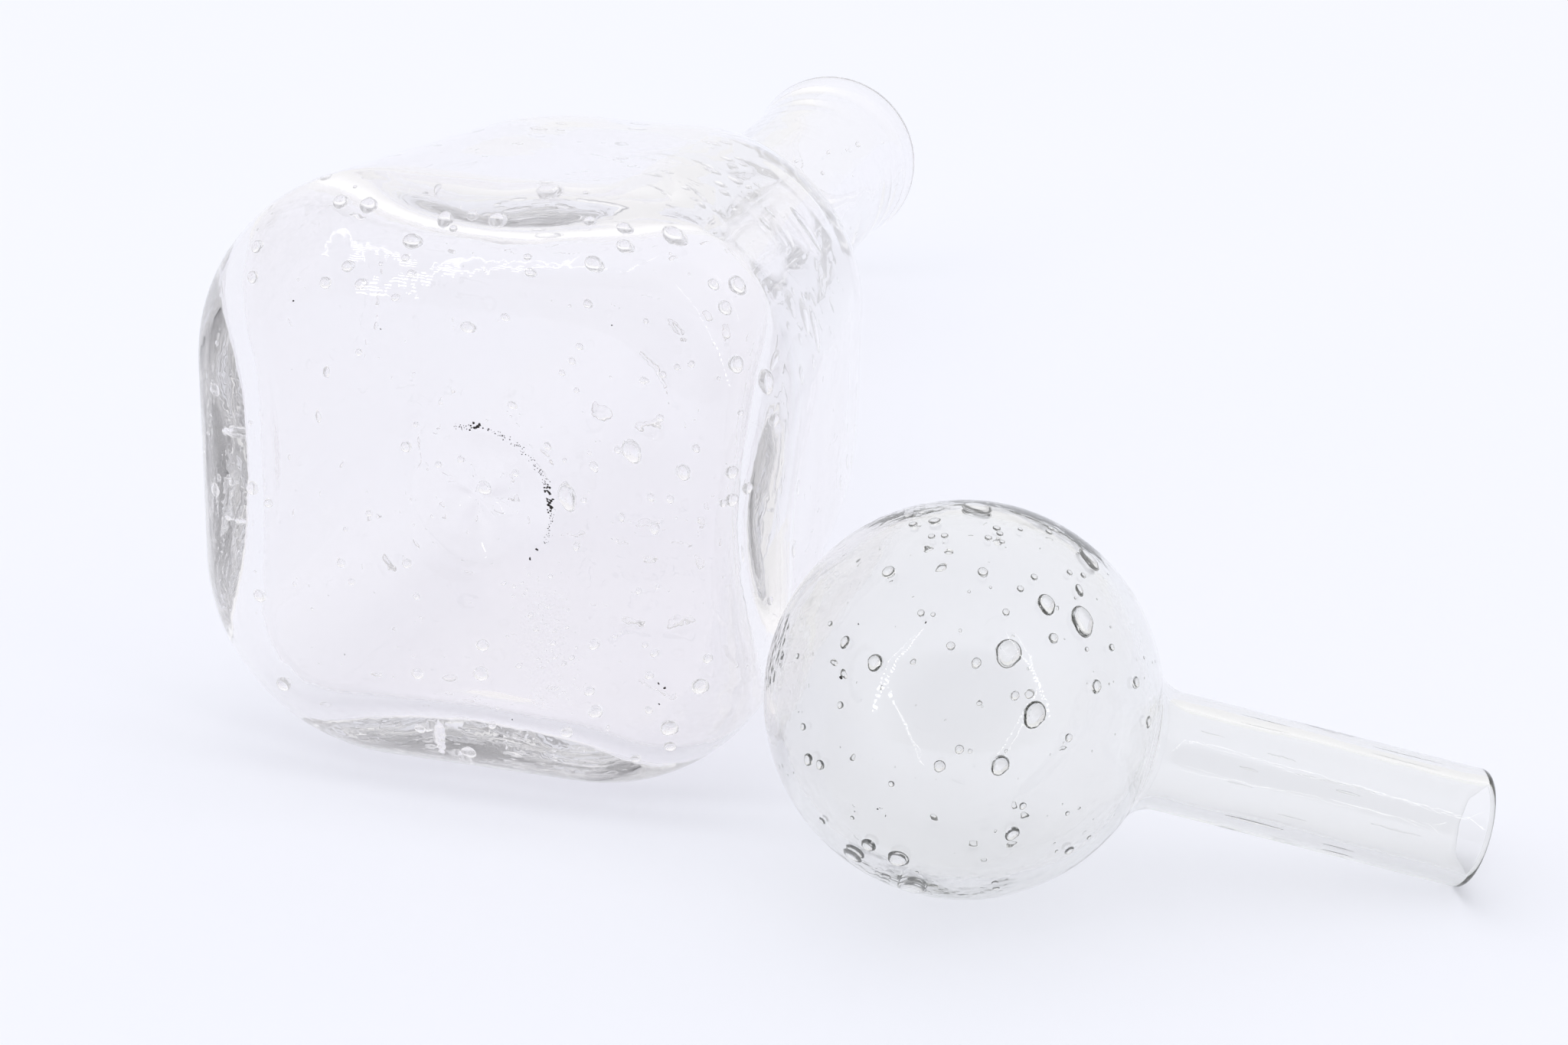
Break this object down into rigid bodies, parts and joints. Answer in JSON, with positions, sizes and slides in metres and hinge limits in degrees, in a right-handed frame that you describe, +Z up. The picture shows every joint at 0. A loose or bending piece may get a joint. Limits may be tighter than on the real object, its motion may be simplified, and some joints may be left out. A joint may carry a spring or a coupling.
{
  "type": "glass carafe with ball stopper",
  "caption": "Square hand-blown seeded glass carafe lying on a flat side, with its loose hollow ball stopper drawn out and laid beside it.",
  "frame": {"origin": "middle of the flat side panel that the bottle lies on, at floor level", "axes": "+Z up; +Y along the bottle as seen from above, from its foot towards its mouth; +X towards the stopper"},
  "size_m": [0.191, 0.2441, 0.0897],
  "materials": {
    "bottle_glass": "clear seeded soda glass, fire-polished",
    "stopper_glass": "clear seeded soda glass, fire-polished"
  },
  "bodies": {
    "bottle": {"carafe_bottle": "bottle_glass"},
    "stopper": {"ball_stopper": "stopper_glass"}
  },
  "joints": [
    {"name": "stopper_lift", "type": "slide", "parent": "bottle", "child": "stopper", "axis": [0, 0, 1], "range_m": [0, 0.15]}
  ]
}
